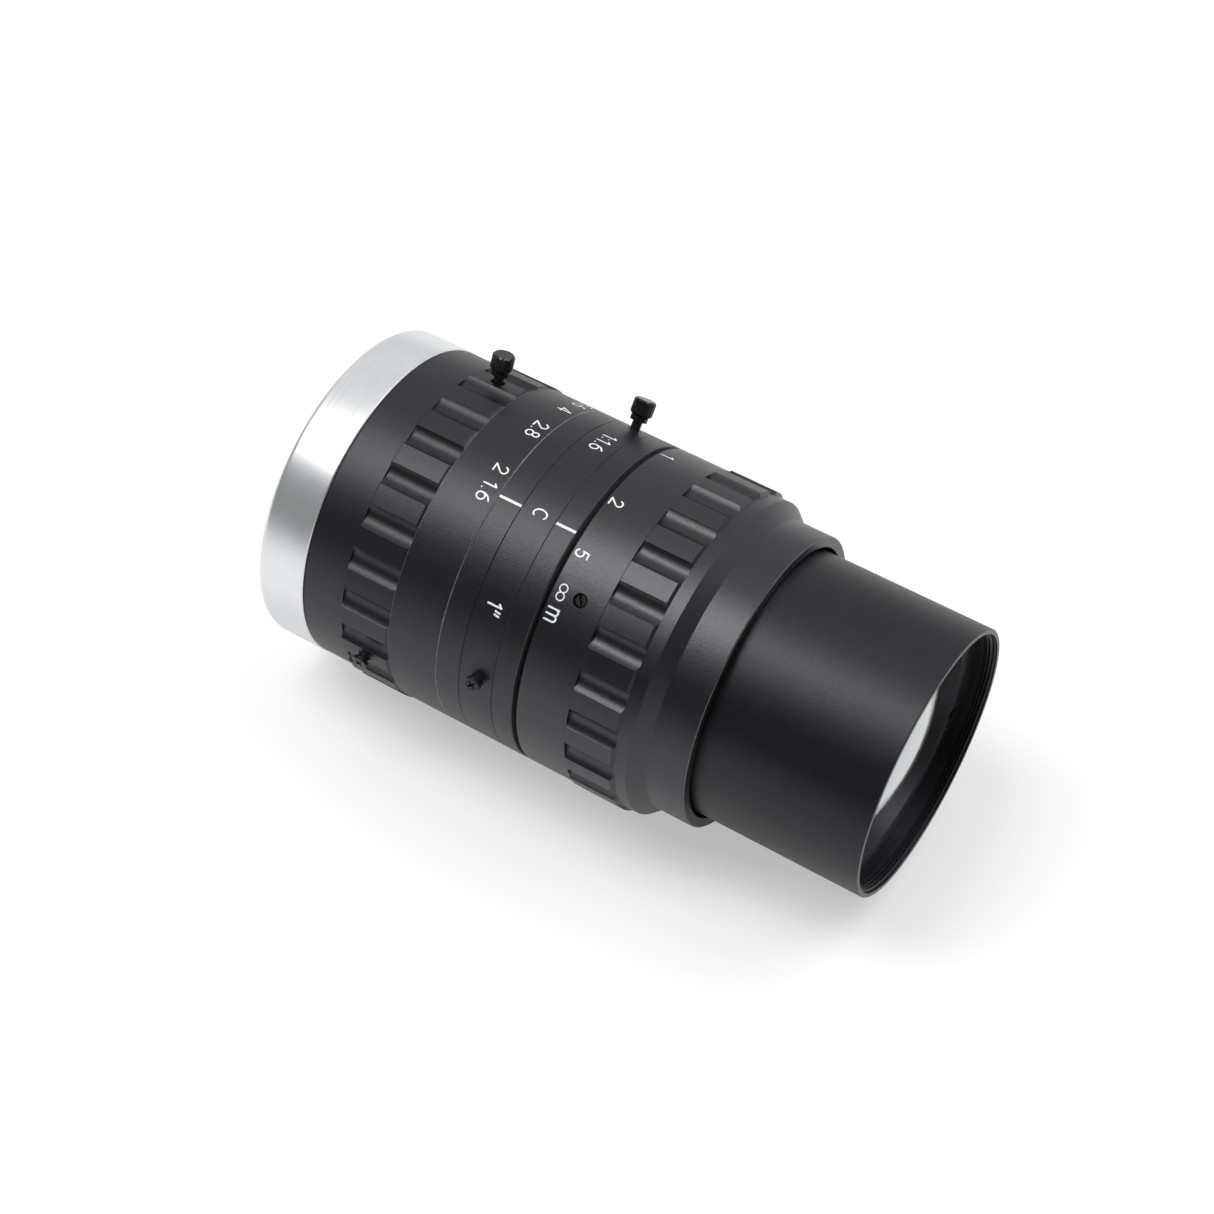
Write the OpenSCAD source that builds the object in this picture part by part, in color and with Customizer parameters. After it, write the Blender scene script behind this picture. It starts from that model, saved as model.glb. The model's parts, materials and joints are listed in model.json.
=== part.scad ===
// Machine vision lens, 50 mm, for a one-inch screw mount (25.4 mm, 32 threads per inch).
// The optical axis is the X axis. X = 0 is the flange face that seats on the camera,
// +X points out of the front glass and +Z is up. All sizes are in millimetres.

/* [Camera mount] */
// Outer diameter of the mount thread
mount_thread_d = 25.4; // [25.2:0.1:25.6]
// Length of the thread boss behind the flange face
mount_thread_len = 4.0; // [3.4:0.1:4.6]
// Step from the bands down to the silver mount ring
mount_ring_drop = 0.12; // [0:0.02:0.3]
// Length of the silver mount ring
mount_ring_len = 8.15; // [7:0.05:10]
// Edge rounding of the silver mount ring
mount_round = 0.9; // [0.3:0.1:1.2]

/* [Outer barrels] */
// Diameter of the scale bands and of the index barrel
body_d = 50.8; // [50.4:0.1:51]
// Height of the lands of the grips over the bands
land_rise = 0.26; // [0.15:0.01:0.5]
// Step from the bands down to the smooth band behind the aperture grip
rear_band_drop = 0.24; // [0.1:0.01:0.4]
// Step from the bands down to the lip in front of the focus grip
lip_drop = 0.3; // [0.1:0.05:0.4]
// Height of the collar over the front barrel
collar_rise = 2.18; // [1.8:0.01:2.5]
// Wall of the focus ring's band, outside the helicoid nut
ring_wall = 1.51; // [1.4:0.01:1.7]
// Wall of the aperture ring's band
aperture_wall = 4.04; // [3.8:0.01:4.2]

/* [Lengths along the axis] */
// Smooth band behind the aperture grip
rear_band_len = 6.99; // [6:0.01:8]
// Aperture grip
aperture_grip_len = 8.4; // [7.5:0.1:9]
// Band that carries the f-numbers
f_scale_len = 8.4; // [7.5:0.1:9]
// Index barrel, which carries both index lines
index_len = 12.9; // [12.4:0.1:14]
// Open groove between index barrel and focus ring
focus_gap = 0.85; // [0.6:0.05:1.2]
// Band that carries the distances
focus_scale_len = 8.2; // [7.5:0.1:9]
// Focus grip
focus_grip_len = 8.0; // [7.5:0.1:9]
// Lip in front of the focus grip
lip_len = 2.05; // [1.6:0.05:2.5]
// Cone between lip and collar
cone_len = 2.15; // [1.8:0.05:3]
// Collar
collar_len = 6.15; // [5:0.05:7]
// Front barrel ahead of the collar
front_len = 26.5; // [24:0.1:28]

/* [Grips] */
// Number of flutes round each grip
flute_count = 24; // [18:1:30]
// Width of one land, as an angle in degrees
land_angle = 7.0; // [6:0.1:8]
// Depth of a flute below the lands
flute_depth = 0.87; // [0.6:0.01:1]
// Length of the sloped front end of each land
land_slope = 0.35; // [0.2:0.05:0.6]
// Angle of one land of the aperture grip
aperture_land_phi = 64.75; // [60:0.05:70]
// Angle of one land of the focus grip
focus_land_phi = 66.8; // [60:0.05:70]

/* [Screws] */
// Diameter of the lock screws and of the cross-head screws in their holes
lock_d = 2.0; // [1.6:0.1:2.2]
// Radius of the knob of a lock screw
knob_r = 1.7; // [1.4:0.05:2]
// Height of the knob of a lock screw
knob_h = 2.4; // [2:0.1:3]
// Height of the step under the knob
knob_step_h = 0.9; // [0.6:0.1:1.2]
// Stand-off of that step from the ring
knob_standoff = 1.5; // [1:0.1:2]
// Radius of a cross-head screw's head
cross_head_r = 1.25; // [1.1:0.05:1.4]
// Thickness of a cross-head screw's head
cross_head_h = 0.6; // [0.4:0.05:0.8]
// Stand-off of that head from the ring
cross_standoff = 0.95; // [0.5:0.05:1.2]
// Diameter of the slotted set screws of the focus ring
grub_d = 2.1; // [1.8:0.1:2.4]
// Angle of the index lines
index_phi = 107.8; // [100:0.1:115]
// Angle of the slotted set screw that shows beside the distances
grub_phi = 126.5; // [120:0.5:130]

/* [Focusing] */
// Wall of the fixed sleeve that guides the front barrel
spigot_wall = 1.37; // [1.2:0.01:1.5]
// Wall of the helicoid nut inside the focus ring
nut_wall = 1.35; // [1.2:0.01:1.4]
// Height of the helicoid thread over the front barrel
helicoid_h = 0.95; // [0.7:0.05:1]
// Length of the threaded stretch of the front barrel
helicoid_len = 4.6; // [4:0.1:4.8]
// Wall of the front barrel's tail
tail_wall = 1.4; // [1.2:0.1:1.6]
// Width of the guide key
key_w = 3.0; // [2:0.1:4]
// Length of the guide key
key_len = 6.0; // [5:0.1:6.5]
// Furthest travel of the front barrel towards a near subject
near_travel = 3.9; // [3.5:0.1:4]
// Furthest travel of the front barrel past the infinity mark
far_travel = 0.75; // [0.5:0.05:0.8]

/* [Inner barrel and iris] */
// Wall of the inner barrel where the iris sits
inner_wall = 1.8; // [1.6:0.1:2]
// Width of an iris blade
blade_w = 5.6; // [5:0.1:5.8]
// Thickness of an iris blade
blade_t = 0.1; // [0.08:0.01:0.12]
// Distance from one blade's layer to the next
blade_pitch = 0.15; // [0.14:0.01:0.2]
// Angle that one blade covers
blade_arc = 128; // [110:1:135]
// From the inner barrel's bore to the circle of pivots
pivot_inset = 2.5; // [2.3:0.1:2.7]
// Distance from a blade's pivot to its drive pin
lever_len = 4.2; // [4:0.1:4.4]
// Turn of the aperture ring from the widest to the smallest stop, in degrees
aperture_turn = 85; // [80:1:90]
// Turn of a blade over that range, in degrees
blade_turn = 31; // [28:1:32]
// Width of a cam slot
cam_slot_w = 0.62; // [0.6:0.01:0.7]

/* [Glass] */
// Radius of curvature of the front glass
front_glass_curve = 33.1; // [31:0.1:36]
// Wall of the lens cell round the two front glasses
cell_wall = 2.7; // [2.5:0.1:3.2]
// Depth of the front glass's vertex behind the front rim
front_glass_depth = 2.65; // [2.4:0.05:3]
// Middle thickness of the front glass
front_glass_t = 7.5; // [7:0.1:8]
// Step from the front glasses' rim down to the third glass's rim
third_glass_step = 2.0; // [1.8:0.1:2.4]
// From the inner barrel's bore to the rim of the fourth glass
fourth_glass_inset = 7.1; // [6.8:0.1:7.4]
// Wall of the rear cell round the two rear glasses
rear_cell_wall = 1.5; // [1.3:0.1:1.8]
// Length of the filter thread
filter_thread_len = 2.3; // [2:0.05:2.4]
// Length of the smooth wall behind the filter thread
filter_wall_len = 1.35; // [1.2:0.05:1.6]
// Wall of the front rim, outside the filter thread
rim_wall = 0.75; // [0.6:0.01:0.9]

/* [Fits] */
// Running gap between a turning ring and its seat, on the radius
turn_fit = 0.06; // [0.03:0.01:0.09]
// Sliding gap of the front barrel, on the radius
slide_fit = 0.08; // [0.05:0.01:0.09]
// Gap of seated pieces, on the radius
seat_fit = 0.03; // [0.02:0.01:0.05]
// Gap along the axis between faces that pass each other
face_gap = 0.06; // [0.04:0.01:0.1]

/* [Hidden] */
$fn = 96;

// One node above for each blade
blade_count = 8;

black_finish = [0.17, 0.17, 0.18];
inner_finish = [0.10, 0.10, 0.11];
silver_finish = [0.86, 0.87, 0.88];
steel_finish = [0.45, 0.46, 0.48];
brass_finish = [0.72, 0.60, 0.32];
glass_tint = [0.62, 0.75, 0.78, 0.45];
blade_finish = [0.22, 0.22, 0.24];

// Stations along the axis, from the camera to the front rim
x_boss = -mount_thread_len;
x_aperture = mount_ring_len + face_gap;
x_aperture_grip = x_aperture + rear_band_len;
x_f_scale = x_aperture_grip + aperture_grip_len;
x_aperture_end = x_f_scale + f_scale_len;
x_index = x_aperture_end + face_gap;
x_index_end = x_index + index_len;
x_focus = x_index_end + focus_gap;
x_focus_grip = x_focus + focus_scale_len;
x_lip = x_focus_grip + focus_grip_len;
x_cone = x_lip + lip_len;
x_collar = x_cone + cone_len;
x_collar_end = x_collar + collar_len;
x_rim = x_collar_end + front_len;

// Radii, from the bands inwards
body_r = body_d / 2;
land_r = body_r + land_rise;
rear_band_r = body_r - rear_band_drop;
mount_ring_r = body_r - mount_ring_drop;
lip_r = body_r - lip_drop;
front_r = body_r - ring_wall - seat_fit - nut_wall - turn_fit - spigot_wall - slide_fit;
collar_r = front_r + collar_rise;
guide_r = front_r + slide_fit;
spigot_r = guide_r + spigot_wall;
nut_bore_r = spigot_r + turn_fit;
nut_r = nut_bore_r + nut_wall;
helicoid_r = front_r + helicoid_h;
stop_ring_r = nut_bore_r + 0.5;
inner_r = body_r - aperture_wall - turn_fit;
inner_bore_r = inner_r - inner_wall;
flute_floor_r = land_r - flute_depth;
lock_r = lock_d / 2;
lock_hole_r = lock_r + turn_fit;
tail_bore_r = front_r - tail_wall;
cell_r = front_r - 1.9;
filter_bore_r = front_r - rim_wall;
filter_wall_r = filter_bore_r - 0.25;
front_glass_r = cell_r - cell_wall;
third_glass_r = front_glass_r - third_glass_step;
fourth_glass_r = inner_bore_r - fourth_glass_inset;
rear_cell_r = mount_thread_d / 2 - 1.7;
rear_glass_r = rear_cell_r - rear_cell_wall;
pivot_circle_r = inner_bore_r - pivot_inset;
iris_open_r = pivot_circle_r - 1.25 - blade_w;

// Stations of the inner pieces
x_inner_rear = 3.0;
x_rear_flange = 12.0;
rear_seat_len = 7.0;
x_iris_retainer = x_rear_flange + rear_seat_len;
iris_retainer_t = 1.5;
x_cam = x_iris_retainer + iris_retainer_t + face_gap;
cam_rim_t = 2.0;
cam_web_t = 1.0;
x_cam_web = x_cam + cam_rim_t;
x_blades = x_cam_web + cam_web_t + face_gap;
blade_stack = blade_count * blade_pitch;
x_iris_plate = x_blades + blade_stack + face_gap;
iris_plate_t = 1.25;
x_iris_shoulder = x_iris_plate + iris_plate_t;
x_inner_front = x_index + 2.55;
x_inner_seat = x_inner_front + 0.25;
x_tail = x_inner_front + far_travel + 0.25;
spigot_len = 7.1;
x_stop = x_index_end + spigot_len;
stop_t = 1.15;
x_nut_front = x_cone - 0.1;
x_helicoid = x_stop + stop_t + far_travel + 1.3;
x_key = x_tail + 1.4;
key_slot_front = x_key + key_len + far_travel + 0.4;
key_depth = 1.4;
x_cell_seat = x_helicoid + helicoid_len + 2.2;
x_thread_end = x_rim - filter_thread_len;
x_filter_floor = x_thread_end - filter_wall_len;
x_glass_vertex = x_rim - front_glass_depth;
x_lock_aperture = x_aperture_grip + 4.1;
x_lock_focus = x_index + 7.0;
grub_inset = 4.45;
x_set_screws = x_focus + grub_inset;
x_drive_pin = x_cam + cam_rim_t / 2;

// Everything turned is drawn as [x, radius] and spun about the optical axis.
module along_axis() {
  rotate([90, 0, 90]) children();
}

module turned(outline) {
  along_axis() rotate_extrude() polygon([for (p = outline) [p[1], p[0]]]);
}

// A tube between two stations.
module tube(x0, x1, r_out, r_in) {
  turned([[x0, r_in], [x1, r_in], [x1, r_out], [x0, r_out]]);
}

// A flat shape in the YZ plane, raised from x0 to x1.
module plate(x0, x1) {
  translate([x0, 0, 0]) along_axis() linear_extrude(x1 - x0) children();
}

// Places a child's +Z outwards at an angle, measured from +Y towards +Z.
module radial(phi, x, r) {
  rotate([phi, 0, 0]) translate([x, r, 0]) rotate([-90, 0, 0]) children();
}

module radial_hole(phi, x, r0, r1, r) {
  radial(phi, x, r0) cylinder(r = r, h = r1 - r0, $fn = 48);
}

// Grip: lands with concave flutes between them, milled between two stations.
// It laps a little into the bands on both sides.
grip_root = 0.5;
grip_lap = 0.2;
flute_half = (360 / flute_count - land_angle) / 2;
flute_chord = land_r * sin(flute_half);
flute_drop = flute_depth - land_r * (1 - cos(flute_half));
flute_cut_r = (flute_chord * flute_chord + flute_drop * flute_drop) / (2 * flute_drop);
core_r = flute_floor_r - 0.3;

module fluted_section(phi) {
  difference() {
    circle(r = land_r);
    circle(r = flute_floor_r - grip_root);
    for (i = [0 : flute_count - 1])
      rotate(phi + (i + 0.5) * 360 / flute_count)
        translate([flute_floor_r + flute_cut_r, 0]) circle(r = flute_cut_r, $fn = 48);
  }
}

module grip(x0, x1, phi, end_r) {
  intersection() {
    plate(x0 - grip_lap, x1 + grip_lap) fluted_section(phi);
    turned([
      [x0 - grip_lap, flute_floor_r - grip_root], [x1 + grip_lap, flute_floor_r - grip_root],
      [x1 + grip_lap, end_r - grip_lap], [x1, end_r], [x1 - land_slope, land_r],
      [x0 + 0.15, land_r], [x0, land_r - 0.2], [x0, core_r + 0.1], [x0 - grip_lap, core_r + 0.1]
    ]);
  }
}

// Fixed group
module mount_base() {
  r = mount_ring_r;
  thread_r = mount_thread_d / 2;
  bore_r = rear_cell_r + seat_fit;
  boss_chamfer = 0.4;
  edge = [for (a = [0 : 15 : 90]) [mount_round * (1 - sin(a)), r - mount_round * (1 - cos(a))]];
  color(silver_finish) turned(concat(
    [
      [x_boss, bore_r], [x_inner_rear, bore_r], [x_inner_rear, inner_r + seat_fit],
      [mount_ring_len, inner_r + seat_fit], [mount_ring_len, r - 0.15], [mount_ring_len - 0.15, r]
    ],
    edge,
    [[0, thread_r], [x_boss + boss_chamfer, thread_r], [x_boss, thread_r - boss_chamfer]]
  ));
}

module inner_barrel() {
  pin_gap = 0.15;
  slot_w = drive_pin_r + pin_gap;
  slot_edge = asin(slot_w / inner_r);
  color(inner_finish) difference() {
    turned([
      [x_inner_rear, inner_bore_r - 0.9], [x_rear_flange, inner_bore_r - 0.9],
      [x_rear_flange, inner_bore_r], [x_iris_shoulder, inner_bore_r],
      [x_iris_shoulder, inner_bore_r - 1.9], [x_inner_front, inner_bore_r - 1.9],
      [x_inner_front, inner_r], [x_inner_rear, inner_r]
    ]);
    translate([x_drive_pin - slot_w, 0, 0]) along_axis()
      rotate([0, 0, drive_pin_phi - slot_edge])
        rotate_extrude(angle = aperture_turn + 2 * slot_edge)
          translate([inner_bore_r - 0.5, 0]) square([inner_wall + 1, 2 * slot_w]);
  }
}

// Index barrel: both index bands and the lettered band between them, on one sleeve.
index_rear_len = 3.9;
index_front_len = 3.42;
groove_w = 0.14;
groove_depth = 0.12;

module index_barrel() {
  r = body_r;
  x1 = x_index + index_rear_len;
  x2 = x_index_end - index_front_len;
  g = groove_w / 2;
  color(black_finish) difference() {
    turned([
      [x_index, inner_r + seat_fit], [x_inner_seat, inner_r + seat_fit], [x_inner_seat, guide_r],
      [x_stop + stop_t, guide_r], [x_stop + stop_t, spigot_r - 0.55], [x_stop, spigot_r - 0.55],
      [x_stop, spigot_r], [x_index_end, spigot_r], [x_index_end, r - 0.1], [x_index_end - 0.1, r],
      [x2 + g, r], [x2, r - groove_depth], [x2 - g, r],
      [x1 + g, r], [x1, r - groove_depth], [x1 - g, r],
      [x_index + 0.1, r], [x_index, r - 0.1]
    ]);
    for (k = [-1, 1, 3])
      radial_hole(index_phi + 60 * k, x_lock_focus, guide_r - 1, r + 1, lock_hole_r);
    guide_pocket(seat_fit);
  }
}

// The key sits in a pocket of the index barrel and runs in a slot of the front barrel.
key_phi = 270;

module guide_pocket(gap) {
  rotate([key_phi, 0, 0])
    translate([x_key - gap, tail_bore_r + 0.1, -key_w / 2 - gap])
      cube([key_len + 2 * gap, guide_r + key_depth - tail_bore_r - 0.1 + gap, key_w + 2 * gap]);
}

module guide_key() {
  color(brass_finish) guide_pocket(0);
}

module helicoid_stop() {
  color(brass_finish) tube(x_stop + seat_fit, x_stop + stop_t, stop_ring_r, spigot_r - 0.55 + seat_fit);
}

// A small cross-head screw that closes a spare lock hole. It stands proud of the ring.
module cross_screw(ring_r, tip_r) {
  shank_r = lock_r - 0.12;
  slot = 0.28;
  top = ring_r - tip_r + cross_standoff + cross_head_h;
  difference() {
    rotate_extrude($fn = 48) polygon([
      [0, 0], [lock_r - 0.25, 0], [lock_r, 0.25], [lock_r, ring_r - tip_r - 0.1],
      [shank_r, ring_r - tip_r], [shank_r, top - cross_head_h], [cross_head_r, top - cross_head_h],
      [cross_head_r, top - 0.15], [cross_head_r - 0.15, top], [0, top]
    ]);
    for (a = [45, 135])
      rotate(a) translate([-cross_head_r * 0.6, -slot / 2, top - 0.4])
        cube([cross_head_r * 1.2, slot, 0.5]);
  }
}

module index_screws() {
  tip = guide_r + 0.9;
  color(steel_finish) for (k = [1, 3])
    radial(index_phi + 60 * k, x_lock_focus, tip) cross_screw(body_r, tip);
}

// A knurled lock screw, with its tip just off the barrel that it holds.
knurl_count = 16;

module lock_screw(ring_r, tip_r) {
  neck_r = lock_r - 0.25;
  step_r = knob_r * 0.78;
  surface = ring_r - tip_r;
  knob_z = surface + knob_standoff + knob_step_h;
  rotate_extrude($fn = 48) polygon([
    [0, 0], [lock_r - 0.25, 0], [lock_r, 0.25], [lock_r, surface - 0.1], [neck_r, surface],
    [neck_r, surface + knob_standoff], [step_r, surface + knob_standoff],
    [step_r, knob_z - 0.2], [step_r - 0.2, knob_z], [0, knob_z]
  ]);
  intersection() {
    translate([0, 0, knob_z]) linear_extrude(knob_h) difference() {
      circle(r = knob_r, $fn = 48);
      for (i = [0 : knurl_count - 1])
        rotate(i * 360 / knurl_count) translate([knob_r + 0.06, 0]) circle(r = 0.17, $fn = 16);
    }
    rotate_extrude($fn = 48) polygon([
      [0, knob_z], [knob_r - 0.2, knob_z], [knob_r, knob_z + 0.25],
      [knob_r, knob_z + knob_h - 0.25], [knob_r - 0.25, knob_z + knob_h], [0, knob_z + knob_h]
    ]);
  }
}

// Aperture ring and the iris drive
drive_pin_r = 0.6;
drive_pin_phi = 232;
drive_pin_out_r = inner_r + 2.2;
pin_reach = 1.4;

module aperture_ring() {
  r = body_r;
  bore = inner_r + turn_fit;
  color(black_finish) difference() {
    union() {
      turned([
        [x_aperture, bore], [x_aperture_end, bore], [x_aperture_end, r - 0.1],
        [x_aperture_end - 0.1, r], [x_f_scale, r], [x_f_scale, core_r],
        [x_aperture_grip, core_r], [x_aperture_grip, rear_band_r],
        [x_aperture + 0.2, rear_band_r], [x_aperture, rear_band_r - 0.2]
      ]);
      grip(x_aperture_grip, x_f_scale, aperture_land_phi, r);
    }
    for (k = [0 : 2])
      radial_hole(aperture_land_phi + 120 * k, x_lock_aperture, inner_r - 1, land_r + 1, lock_hole_r);
    radial_hole(drive_pin_phi, x_drive_pin, inner_r - 1, drive_pin_out_r + seat_fit, drive_pin_r + seat_fit);
  }
}

module aperture_screws() {
  tip = inner_r + 0.9;
  color(steel_finish) for (k = [1, 2])
    radial(aperture_land_phi + 120 * k, x_lock_aperture, tip) cross_screw(land_r, tip);
}

module aperture_lock_screw() {
  tip = inner_r + 0.1;
  color(black_finish) radial(aperture_land_phi, x_lock_aperture, tip) lock_screw(land_r - 0.2, tip);
}

module focus_lock_screw() {
  tip = guide_r + 0.05;
  color(black_finish) radial(index_phi - 60, x_lock_focus, tip) lock_screw(body_r, tip);
}

module iris_drive_pin() {
  inner_end = inner_bore_r - pin_reach;
  color(steel_finish) radial_hole(drive_pin_phi, x_drive_pin, inner_end, drive_pin_out_r, drive_pin_r);
}

// Iris: where a blade's drive pin is after a turn of the blade, for the blade whose pivot is at angle 0.
function lever_angle(turn) = -90 - blade_turn / 2 + turn;
function pin_point(turn) = [
  pivot_circle_r + lever_len * cos(lever_angle(turn)),
  lever_len * sin(lever_angle(turn))
];
function turned_by(p, a) = [p[0] * cos(a) - p[1] * sin(a), p[0] * sin(a) + p[1] * cos(a)];

// The same point seen from the cam ring, which turns further than the blade does.
cam_steps = 24;
function cam_point(s) = turned_by(pin_point(s * blade_turn), -s * aperture_turn);
function cam_heading(s) =
  let (d = cam_point(s + 0.005) - cam_point(s - 0.005)) d / norm(d);
function cam_side(s, w) =
  let (h = cam_heading(s)) cam_point(s) + w * [-h[1], h[0]];

module cam_slot() {
  w = cam_slot_w / 2;
  steps = [for (i = [0 : cam_steps]) -0.01 + 1.02 * i / cam_steps];
  back = [for (i = [cam_steps : -1 : 0]) steps[i]];
  polygon(concat([for (s = steps) cam_side(s, w)], [for (s = back) cam_side(s, -w)]));
  for (s = [steps[0], steps[cam_steps]])
    translate(cam_point(s)) circle(r = w, $fn = 24);
}

module iris_cam_ring() {
  outer = inner_bore_r - turn_fit;
  cam_web_w = 2.0;
  cam_rim_w = 1.7;
  color(brass_finish) difference() {
    union() {
      plate(x_cam_web, x_cam_web + cam_web_t) difference() {
        circle(r = outer);
        circle(r = pivot_circle_r - cam_web_w);
        for (i = [0 : blade_count - 1]) rotate(i * 360 / blade_count) cam_slot();
      }
      tube(x_cam, x_cam_web, outer, outer - cam_rim_w);
    }
    radial_hole(drive_pin_phi, x_drive_pin, inner_bore_r - pin_reach - seat_fit, inner_bore_r + 1, drive_pin_r + seat_fit);
  }
}

pivot_pin_r = 0.28;
pivot_hub_r = 0.85;
drive_stud_r = 0.24;
drive_hub_r = 0.5;

module blade_shape() {
  stud = pin_point(0);
  heading = (stud - [pivot_circle_r, 0]) / lever_len;
  side = 0.4 * [-heading[1], heading[0]];
  outer = iris_open_r + blade_w;
  difference() {
    union() {
      difference() {
        circle(r = outer);
        circle(r = iris_open_r);
        rotate(blade_arc) translate([-outer * 2, 0]) square([outer * 4, outer * 2]);
        rotate(-4) translate([-outer * 2, -outer * 2]) square([outer * 4, outer * 2]);
      }
      translate([outer - 0.5, -pivot_hub_r]) square([pivot_circle_r - outer + 0.5, pivot_hub_r * 2]);
      translate([pivot_circle_r, 0]) circle(r = pivot_hub_r, $fn = 32);
      polygon([[pivot_circle_r, 0] + side, [pivot_circle_r, 0] - side, stud - side, stud + side]);
      translate(stud) circle(r = drive_hub_r, $fn = 32);
    }
    translate([pivot_circle_r, 0]) circle(r = pivot_pin_r + 0.05, $fn = 32);
  }
}

// Blade 1 lies next to the iris plate. Each drive stud reaches back into the cam ring.
module iris_blade(i) {
  x0 = x_blades + (blade_count - i) * blade_pitch;
  color(blade_finish) rotate([(i - 1) * 360 / blade_count, 0, 0]) {
    plate(x0, x0 + blade_t) blade_shape();
    plate(x_cam_web + cam_web_t - 0.8, x0 + blade_t / 2)
      translate(pin_point(0)) circle(r = drive_stud_r, $fn = 32);
  }
}

module iris_plate() {
  pin_end = x_blades - face_gap / 2;
  color(inner_finish) {
    tube(x_iris_plate, x_iris_shoulder - seat_fit, inner_bore_r - seat_fit, iris_open_r + 0.2);
    for (i = [0 : blade_count - 1])
      rotate([i * 360 / blade_count, 0, 0])
        plate(pin_end, x_iris_plate + 0.5)
          translate([pivot_circle_r, 0]) circle(r = pivot_pin_r, $fn = 32);
  }
}

module iris_retainer() {
  x1 = x_iris_retainer + iris_retainer_t;
  color(inner_finish) tube(x_iris_retainer, x1, inner_bore_r - seat_fit, inner_bore_r - 2.5);
}

// Rear glass group
rear_cell_x = x_boss + 0.8;
rear_lip_len = 2.2;
rear_step_x = 7.0;
rear_step_r = rear_glass_r - 0.9;
fourth_seat_x = 9.5;
fourth_seat_r = fourth_glass_r - 1.2;
fourth_retainer_t = 1.6;
x_rear_cell_end = x_iris_retainer - seat_fit;

module rear_cell() {
  waist_r = max(fourth_glass_r + 1.6, rear_cell_r + 0.5);
  color(inner_finish) turned([
    [rear_cell_x, rear_glass_r + 0.35], [rear_cell_x + rear_lip_len, rear_glass_r + 0.35],
    [rear_cell_x + rear_lip_len, rear_glass_r + seat_fit], [rear_step_x, rear_glass_r + seat_fit],
    [rear_step_x, rear_step_r], [fourth_seat_x, fourth_seat_r],
    [fourth_seat_x, fourth_glass_r + seat_fit], [x_rear_cell_end, fourth_glass_r + seat_fit],
    [x_rear_cell_end, inner_bore_r - seat_fit], [x_rear_flange + seat_fit, inner_bore_r - seat_fit],
    [x_rear_flange + seat_fit, inner_bore_r - 2.0], [x_rear_flange - 2.5, waist_r],
    [x_inner_rear + 1.5, waist_r], [x_inner_rear + 0.5, rear_cell_r], [rear_cell_x, rear_cell_r]
  ]);
}

module rear_retainer() {
  r = rear_glass_r + 0.32;
  x0 = rear_cell_x + 0.15;
  x1 = rear_cell_x + rear_lip_len - seat_fit;
  slot_w = 1.0;
  slot_depth = 0.8;
  color(inner_finish) difference() {
    turned([[x0, r - 0.62], [x1, r - 1.42], [x1, r], [x0, r]]);
    for (a = [90, 270])
      rotate([a, 0, 0]) translate([x0 - slot_depth, r - 1.5, -slot_w / 2])
        cube([2 * slot_depth, 2, slot_w]);
  }
}

// How far a spherical face of radius r and signed bulge falls back from its vertex, at radius t.
function fall(bulge, r, t) =
  let (c = (r * r + bulge * bulge) / (2 * abs(bulge))) sign(bulge) * (c - sqrt(c * c - t * t));

// A glass between two vertices, rear then front, with spherical faces of signed bulge height.
module glass(x0, x1, r, bulge_rear, bulge_front) {
  n = 12;
  function face(x, bulge, dir) = [
    for (i = [0 : n]) let (t = i / n * r) [x - dir * fall(bulge, r, t), t]
  ];
  rear = face(x0, bulge_rear, -1);
  front = face(x1, bulge_front, 1);
  color(glass_tint) turned(concat(rear, [for (i = [n : -1 : 0]) front[i]]));
}

// Rear glasses: bulge of each face at its middle, hollow faces negative, and their stations
rear_hollow = -0.7;
rear_bulge = 1.2;
fifth_bulge_rear = 0.5;
fifth_bulge_front = 1.2;
fourth_bulge_rear = 0.8;
fourth_bulge_front = 2.0;
rear_glass_t = 3.9;
rear_air = 1.3;
fourth_glass_t = 7.4;
x_rear_glass = rear_cell_x + rear_lip_len + seat_fit - rear_hollow;
x_rear_glass_front = x_rear_glass + rear_glass_t;
x_fifth_glass = x_rear_glass_front + rear_air;
x_fifth_glass_front = rear_step_x - seat_fit + fall(fifth_bulge_front, rear_glass_r, rear_step_r);
x_fourth_glass = fourth_seat_x + seat_fit - fall(fourth_bulge_rear, fourth_glass_r, fourth_seat_r);
x_fourth_glass_front = x_fourth_glass + fourth_glass_t;

module rear_lens() {
  glass(x_rear_glass, x_rear_glass_front, rear_glass_r, rear_hollow, rear_bulge);
}

module rear_spacer() {
  bore = rear_glass_r - 0.35;
  x0 = x_rear_glass_front - fall(rear_bulge, rear_glass_r, bore) + seat_fit;
  x1 = x_fifth_glass + fall(fifth_bulge_rear, rear_glass_r, bore) - seat_fit;
  color(inner_finish) tube(x0, x1, rear_glass_r, bore);
}

module fifth_lens() {
  glass(x_fifth_glass, x_fifth_glass_front, rear_glass_r, fifth_bulge_rear, fifth_bulge_front);
}

module fourth_lens() {
  glass(x_fourth_glass, x_fourth_glass_front, fourth_glass_r, fourth_bulge_rear, fourth_bulge_front);
}

module fourth_lens_retainer() {
  bore = fourth_glass_r - 0.5;
  x0 = x_fourth_glass_front - fall(fourth_bulge_front, fourth_glass_r, bore) + seat_fit;
  color(inner_finish) tube(x0, x0 + fourth_retainer_t, fourth_glass_r, bore);
}

// Focus ring, its helicoid nut and the set screws that join them
set_screw_recess = 0.35;
grub_slot_turn = -60;

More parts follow.
